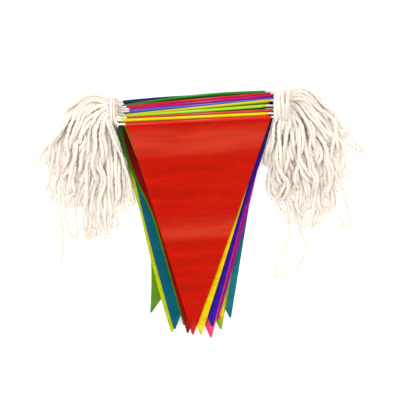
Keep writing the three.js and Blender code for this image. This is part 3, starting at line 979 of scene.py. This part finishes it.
def hanging(bunch, start, lane, begin, reach, height, width, wander):
    """Points from a start along the way of a lane, down to a height and then to the floor."""
    points = list(start)
    for point in range(WAY_POINTS):
        done = (point + FIRST_POINT) / (WAY_POINTS - 1 + FIRST_POINT)
        share = mix(begin, reach, done)
        spread = ease((share - begin) / SPREAD_BY)
        x, y = way(bunch, np.clip(lane + wander(share) * spread, *LANE_ENDS), share)
        low = mix(height, width / 2, ease((done - SAG_FROM) / (1 - SAG_FROM)))
        down = ease((share - DOWN_FROM) / (DOWN_BY - DOWN_FROM))
        points.append(np.array([x, y, mix(start[-1][2], low, down)]))
    return points


# route: its middle line before it settles. phase, turns: of its winding. shorter: how far each loop
# ends before the line does. crimp: length of a wave.
Lock = namedtuple("Lock", "route loops phase turns shorter crimp")


def new_lock(route, loops, rng):
    return Lock(
        route,
        loops,
        rng.uniform(0, FULL_TURN),
        rng.uniform(-LOCK_TURNS, LOCK_TURNS),
        rng.uniform(0, SHORTER, loops) * np.arange(loops),
        rng.uniform(*CRIMP_WAVES),
    )


def locks_of(bunch, rng):
    """Locks in layers, the upper ones shorter, and those that fold back over the tie."""
    locks = []
    for number, layer in enumerate(LAYERS):
        for place, loops in enumerate(layer.loops):
            if loops:
                lane = (place + layer.first) / LANES
                width = lock_width(loops)
                start = through_neck(bunch, 2 * lane - 1, layer.root)
                reach = mix(layer.shortest, layer.longest, rng.uniform())
                height = width / 2 + number * LAYER_PITCH
                route = hanging(bunch, start, lane, 0.0, reach, height, width, wandering(rng))
                locks.append(new_lock(route, loops, rng))
    for cover in bunch.covers:
        start = folded_back(bunch, cover.place)
        width = lock_width(1)
        height = width / 2 + len(LAYERS) * LAYER_PITCH
        wander = wandering(rng)
        route = hanging(
            bunch, start, cover.lane, FOLD_BACK_FROM, cover.reach, height, width, wander
        )
        locks.append(new_lock(route, 1, rng))
    return locks


def wound_loops(line, lock):
    """The loops of one lock, as points around its settled middle line."""
    ahead = line[-1] - line[-2]
    line = np.vstack([line, line[-1] + 2 * LOOP_HALF * ahead / np.linalg.norm(ahead)])
    along = distances(line)
    ahead = np.gradient(line, axis=0)
    across = unit(np.stack([-ahead[:, 1], ahead[:, 0], np.zeros(len(line))], axis=1))
    upward = unit(np.cross(ahead, across))

    def placed(at, aside, rise):
        middle, right, up = (sampled(at, along, values) for values in (line, across, upward))
        return middle + aside[:, None] * right + rise[:, None] * up

    routes = []
    radius = LOCK_RADIUS[lock.loops]
    for loop in range(lock.loops):
        end = along[-2] - lock.shorter[loop]
        shift = LOOP_SHIFT * (2 * loop + 1 - lock.loops)
        at = np.linspace(0, end, max(FEWEST_POINTS, round(end / (2 * POINT_STEP))))
        parted = ease((at - end + PART_LENGTH) / PART_LENGTH)
        gathered = mix(NECK_LOCK_RADIUS, radius, ease(at / GATHER_LENGTH))
        legs = []
        for side in (-1, 1):
            angle = lock.phase + FULL_TURN * (2 * loop + (side + 1) / 2) / (2 * lock.loops)
            turn = angle + lock.turns * FULL_TURN * at / along[-2]
            crimp = CRIMP * ease(at / end) * np.sin(FULL_TURN * at / lock.crimp + turn)
            aside = mix(gathered * np.cos(turn), shift + side * LOOP_HALF, parted) + crimp
            rise = mix(gathered * np.sin(turn), -radius, parted)
            legs.append(placed(at, aside, rise))
        turn = np.radians(END_DEGREES)
        aside = shift + LOOP_HALF * np.sin(turn)
        bight = placed(end + LOOP_HALF * np.cos(turn), aside, np.full(len(turn), -radius))
        routes.append(np.vstack([legs[0], bight, legs[1][::-1]]))
    return routes


def stray_routes(bunch, rng):
    """Single loops, or one loose end, that leave the bunch and lie on the floor."""
    routes = []
    for stray in bunch.strays:
        wander = wandering(rng)
        legs = []
        for lane in (stray.lane, stray.back):
            if lane is not None:
                start = through_neck(bunch, 2 * lane - 1, STRAY_ROOT)
                legs.append(
                    hanging(bunch, start, lane, 0.0, stray.leave, STRAY_HEIGHT, LOOSE_CORD, wander)
                )
        path = [np.array([x, y, LOOSE_CORD / 2]) for x, y in stray.path]
        home = legs[1][::-1] if len(legs) > 1 else []
        routes.append(legs[0] + path + home)
    return routes


def smooth_line(points, step):
    shares = np.linspace(0, 1, len(points) * CURVE_POINTS)
    return evenly(curve(points, shares), step)


class CordPile:
    """Locks of one bunch as points, let down until they lie on each other and the floor."""

    def __init__(self, lines, pinned, widths):
        self.points = np.concatenate(lines)
        self.owner = np.repeat(np.arange(len(lines)), [len(line) for line in lines])
        self.pinned = pinned
        self.halves = widths / 2
        self.chain = self.owner[:-1] == self.owner[1:]
        self.lengths = np.linalg.norm(np.diff(self.points, axis=0), axis=1)

    def loose(self, moves):
        moves[self.pinned] = 0
        self.points += moves

    def fall(self):
        moves = np.zeros_like(self.points)
        moves[:, 2] = -FALL_A_STEP
        self.loose(moves)

    def keep_lengths(self):
        ahead = np.diff(self.points, axis=0)
        far = np.maximum(np.linalg.norm(ahead, axis=1), NEARLY_ZERO)
        pull = np.where(self.chain, (far - self.lengths) / far / 2, 0)[:, None] * ahead
        moves = np.zeros_like(self.points)
        moves[:-1] += pull
        moves[1:] -= pull
        self.loose(moves)

    def keep_straight(self):
        reach = STRAIGHT_REACH
        moves = np.zeros_like(self.points)
        same = self.owner[:-2 * reach] == self.owner[2 * reach:]
        middle = (self.points[:-2 * reach] + self.points[2 * reach:]) / 2
        pull = STIFFNESS * (middle - self.points[reach:-reach])
        moves[reach:-reach] = np.where(same[:, None], pull, 0)
        self.loose(moves)

    def push_apart(self):
        places = self.points.astype(np.float32)
        squares = (places * places).sum(1)
        apart = squares[:, None] + squares[None, :] - 2 * places @ places.T
        reach = self.halves[:, None] + self.halves[None, :]
        first, second = np.nonzero(apart < reach * reach)
        near = (self.owner[first] == self.owner[second]) & (np.abs(first - second) < NEIGHBOURS)
        keep = (first < second) & ~near
        first, second = first[keep], second[keep]
        between = self.points[second] - self.points[first]
        far = np.maximum(np.linalg.norm(between, axis=1), CLOSEST)
        push = (PUSH * (self.halves[first] + self.halves[second] - far) / far)[:, None] * between
        moves = np.zeros_like(self.points)
        np.add.at(moves, first, -push)
        np.add.at(moves, second, push)
        touches = np.bincount(np.concatenate([first, second]), minlength=len(moves))
        self.loose(moves / np.maximum(1, touches * SHARED_PUSH)[:, None])

    def keep_on_floor(self):
        self.points[:, 2] = np.maximum(self.points[:, 2], self.halves)

    def settle(self, steps):
        for _ in range(steps):
            self.fall()
            for _ in range(STRETCH_PASSES):
                self.keep_lengths()
            self.keep_straight()
            self.push_apart()
            self.keep_on_floor()
        return [self.points[self.owner == number] for number in range(self.owner[-1] + 1)]


def hem_end(pennant, side):
    """End of a hem's roll, the middle of the cord in it, in millimetres."""
    share = 0.0 if side < 0 else 1.0
    x, y = plan(pennant, np.array([[share]]), np.array([[0.0]]))
    height = undersides(pennant, np.array([0.0]), np.array([share]))
    return np.array([x[0, 0], y[0, 0], height[0, 0] + BEAD_RADIUS])


def stub_routes(bunch):
    """Cord that comes out of each hem and dips into the neck."""
    routes = []
    for pennant in PENNANTS:
        end = hem_end(pennant, bunch.away)
        start = end - np.array([bunch.away * STUB_INSIDE_HEM, 0, 0])
        start[1] -= bunch.away * STUB_INSIDE_HEM * math.tan(math.radians(pennant.turn))
        knee = np.array([bunch.neck[0] - bunch.away * STUB_KNEE, end[1], end[2]])
        root = np.array([
            bunch.neck[0] + bunch.away * neck_length(bunch) / 2,
            mix(bunch.neck[1], end[1], STUB_DRAW_IN),
            mix(NECK_Z, end[2], STUB_DRAW_IN),
        ])
        routes.append([start, end, mix(end, knee, 0.5), knee, root])
    return routes


def frames(line):
    """Two directions across a line at each of its points, carried along it without a twist."""
    ahead = unit(np.gradient(line, axis=0))
    aside = np.zeros_like(line)
    start = np.cross(ahead[0], UP)
    aside[0] = start / np.linalg.norm(start)
    for point in range(1, len(line)):
        carried = aside[point - 1] - ahead[point] * (aside[point - 1] @ ahead[point])
        aside[point] = carried / np.linalg.norm(carried)
    return aside, np.cross(ahead, aside)


def twisted_cords(name, lines, diameters, cord, rng):
    """One mesh of three-ply cords along lines in millimetres, crests marked for painted shade."""
    around = np.arange(CORNERS) * FULL_TURN / CORNERS
    crest = np.cos(PLIES * around)
    vertices, faces, crests = [], [], []
    count = 0
    for line, diameter in zip(lines, diameters):
        radius = diameter / MM / 2 * (1 + cord.groove * crest) / (1 + cord.groove)
        aside, upward = frames(line)
        turn = distances(line) / (cord.twist / MM) * FULL_TURN + rng.uniform(0, FULL_TURN)
        angle = turn[:, None] + around[None, :]
        ring = (
            line[:, None, :]
            + (np.cos(angle) * radius)[:, :, None] * aside[:, None, :]
            + (np.sin(angle) * radius)[:, :, None] * upward[:, None, :]
        )
        vertices.append(ring.reshape(-1, 3))
        crests.append(np.tile((crest + 1) / 2, len(line)))
        rings = np.arange(len(line) * CORNERS).reshape(len(line), CORNERS) + count
        following = np.roll(rings, -1, axis=1)
        walls = np.stack([rings[:-1], following[:-1], following[1:], rings[1:]], axis=2)
        faces.extend(walls.reshape(-1, 4).tolist())
        faces.append(rings[0][::-1].tolist())
        faces.append(rings[-1].tolist())
        count += rings.size
    mesh = bpy.data.meshes.new(name)
    mesh.from_pydata((np.concatenate(vertices) * MM).tolist(), [], faces)
    mark = mesh.attributes.new("ply_crest", "FLOAT", "POINT")
    mark.data.foreach_set("value", np.concatenate(crests).astype(np.float32))
    mesh.shade_smooth()
    mesh.update()
    return mesh


def add_core(mesh, bunch):
    """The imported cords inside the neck, as one oval form under those that show."""
    middle = (neck_length(bunch) + CORE_PAST_NECK) / 2
    centre = (bunch.neck[0] + bunch.away * middle, bunch.neck[1], NECK_Z)
    halves = (middle, CORE_SHARE * NECK_WIDE, CORE_SHARE * NECK_HIGH)
    place = Matrix.Translation([value * MM for value in centre])
    size = Matrix.Diagonal([*(value * MM for value in halves), 1])
    bm = bmesh.new()
    bm.from_mesh(mesh)
    bmesh.ops.create_uvsphere(
        bm, u_segments=CORE_SEGMENTS, v_segments=CORE_RINGS, radius=1, matrix=place @ size
    )
    bm.to_mesh(mesh)
    bm.free()
    mesh.shade_smooth()


def settled_lines(bunch, routes, full_widths):
    """Middle lines of locks and strays, let down on each other and the floor."""
    lines = [smooth_line(route, POINT_STEP) for route in routes]
    widths = []
    for line, wide in zip(lines, full_widths):
        gathered = ease(np.arange(len(line)) * POINT_STEP / GATHER_LENGTH)
        widths.append(mix(min(NECK_LOCK_WIDTH, wide), wide, gathered))
    held = neck_length(bunch) + PINNED_PAST_NECK
    past = (np.concatenate(lines) - (*bunch.neck, 0.0)) * (bunch.away, 1, 1)
    pinned = (past[:, 0] < held) & (past[:, 1] > -PINNED_BELOW)
    pile = CordPile(lines, pinned, np.concatenate(widths))
    return pile.settle(SETTLING_STEPS)


class BUNTING_OT_cord_loops(bpy.types.Operator):
    """Let the cord loops of both bunches down on the floor, and run them to the hems"""

    bl_idname = "bunting.cord_loops"
    bl_label = "Cord loops"

    def execute(self, context):
        cord = context.scene.bunting_cord
        for bunch in BUNCHES:
            rng = np.random.default_rng(SEED + bunch.away)
            locks = locks_of(bunch, rng)
            routes = [lock.route for lock in locks] + stray_routes(bunch, rng)
            widths = [lock_width(lock.loops) for lock in locks] + [LOOSE_CORD] * len(bunch.strays)
            settled = settled_lines(bunch, routes, widths)
            loops = [line[::STRAY_THINNED] for line in settled[len(locks):]]
            for line, lock in zip(settled, locks):
                loops.extend(wound_loops(line, lock))
            shown = [smooth_line(loop, RING_STEP) for loop in loops]
            for line in shown:
                line[:, 2] = np.maximum(line[:, 2], cord.diameter / MM / 2)
            stubs = [smooth_line(route, RING_STEP) for route in stub_routes(bunch)]
            diameters = [cord.diameter] * len(shown) + [cord.drawn] * len(stubs)
            name = f"cords_{bunch.name}"
            mesh = twisted_cords(name, shown + stubs, diameters, cord, rng)
            add_core(mesh, bunch)
            add_piece(name, mesh, cord_material(cord), "cord", f"cord_loops_{bunch.name}")
        return {"FINISHED"}


class BUNTING_OT_ties(bpy.types.Operator):
    """Wrap a cord around the neck of each bunch"""

    bl_idname = "bunting.ties"
    bl_label = "Ties"

    def execute(self, context):
        cord = context.scene.bunting_cord
        for bunch in BUNCHES:
            turns = np.arange(bunch.tie_turns * TIE_STEPS_A_TURN + 1) / TIE_STEPS_A_TURN
            angle = FULL_TURN * turns - math.pi / 2
            middle = bunch.neck[0] + bunch.away * neck_length(bunch) / 2
            line = np.stack([
                middle + TIE_PITCH * (turns - bunch.tie_turns / 2),
                bunch.neck[1] + TIE_ACROSS * np.cos(angle),
                NECK_Z + TIE_RISE * np.sin(angle),
            ], axis=1)
            name = f"tie_wrap_{bunch.name}"
            mesh = twisted_cords(name, [line], [cord.drawn], cord, np.random.default_rng(SEED))
            add_piece(name, mesh, cord_material(cord), "cord", f"tie_{bunch.name}")
        return {"FINISHED"}


# Stage, in metres. Lights: name, place, size and share of the key light's power.

FLOOR_SIDE = 6.0
FLOOR_SEGMENTS = 8
FLOOR_FINISH = {"Roughness": 0.9, "Specular IOR Level": 0.1}
LIGHTS = (
    ("key", (-0.9, 0.9, 1.9), 1.6, 1.0),
    ("fill", (1.2, -0.6, 1.7), 2.0, 0.45),
)


def add_floor(stage):
    """A pale floor that gives a little light itself."""
    bm = bmesh.new()
    bmesh.ops.create_grid(
        bm, x_segments=FLOOR_SEGMENTS, y_segments=FLOOR_SEGMENTS, size=FLOOR_SIDE / 2
    )
    mesh = bpy.data.meshes.new("floor")
    bm.to_mesh(mesh)
    bm.free()
    floor = add_object("floor", mesh)
    paint = bpy.data.materials.new("pale_floor")
    paint.use_nodes = True
    colour = (*stage.floor, 1.0)
    finish = {"Base Color": colour, "Emission Color": colour, "Emission Strength": stage.glow}
    set_inputs(paint.node_tree.nodes["Principled BSDF"], {**FLOOR_FINISH, **finish})
    mesh.materials.append(paint)


def add_lights(stage, target):
    """Soft lamps turned to the bundle, and even light from all around."""
    for name, place, size, share in LIGHTS:
        data = bpy.data.lights.new(name, "AREA")
        data.energy = stage.key * share
        data.size = size
        light = add_object(name, data)
        light.location = place
        light.rotation_euler = (target - light.location).to_track_quat("-Z", "Y").to_euler()
    world = bpy.data.worlds.new("even_light")
    world.use_nodes = True
    set_inputs(world.node_tree.nodes["Background"], {"Color": WHITE, "Strength": stage.sky})
    bpy.context.scene.world = world


def add_camera(target):
    """A camera straight above, as far away as the width of its view needs."""
    data = bpy.data.cameras.new("camera")
    data.lens = CAMERA_LENS
    data.sensor_width = CAMERA_SENSOR
    camera = add_object("camera", data)
    distance = VIEW_WIDTH * MM * CAMERA_LENS / CAMERA_SENSOR
    camera.location = target + Vector((0, 0, distance))
    bpy.context.scene.camera = camera


class BUNTING_OT_stage(bpy.types.Operator):
    """Pale floor, soft light and the camera above"""

    bl_idname = "bunting.stage"
    bl_label = "Stage"

    def execute(self, context):
        stage = context.scene.bunting_stage
        target = Vector(VIEW_CENTRE) * MM
        add_floor(stage)
        add_lights(stage, target)
        add_camera(target)
        context.scene.view_settings.view_transform = "Standard"
        return {"FINISHED"}


class BUNTING_PT_sidebar(bpy.types.Panel):
    """Sizes, colours and pieces of the bunting"""

    bl_idname = "BUNTING_PT_sidebar"
    bl_label = "Bunting"
    bl_space_type = "VIEW_3D"
    bl_region_type = "UI"
    bl_category = "Bunting"

    def draw(self, context):
        for key, _ in SETTINGS:
            settings = getattr(context.scene, key)
            box = self.layout.box()
            for name in settings.__annotations__:
                box.prop(settings, name)
        for operator in OPERATORS:
            self.layout.operator(operator.bl_idname)


SETTINGS = (
    ("bunting_cloth", BuntingCloth),
    ("bunting_dyes", BuntingDyes),
    ("bunting_cord", BuntingCord),
    ("bunting_stage", BuntingStage),
)
OPERATORS = (BUNTING_OT_stage, BUNTING_OT_pennants, BUNTING_OT_cord_loops, BUNTING_OT_ties)


def register():
    for key, settings in SETTINGS:
        bpy.utils.register_class(settings)
        setattr(bpy.types.Scene, key, PointerProperty(type=settings))
    for operator in OPERATORS:
        bpy.utils.register_class(operator)
    bpy.utils.register_class(BUNTING_PT_sidebar)


def unregister():
    bpy.utils.unregister_class(BUNTING_PT_sidebar)
    for operator in reversed(OPERATORS):
        bpy.utils.unregister_class(operator)
    for key, settings in reversed(SETTINGS):
        delattr(bpy.types.Scene, key)
        bpy.utils.unregister_class(settings)


def main():
    register()
    bpy.ops.bunting.stage()
    bpy.ops.bunting.pennants()
    bpy.ops.bunting.cord_loops()
    bpy.ops.bunting.ties()


if __name__ == "__main__":
    main()
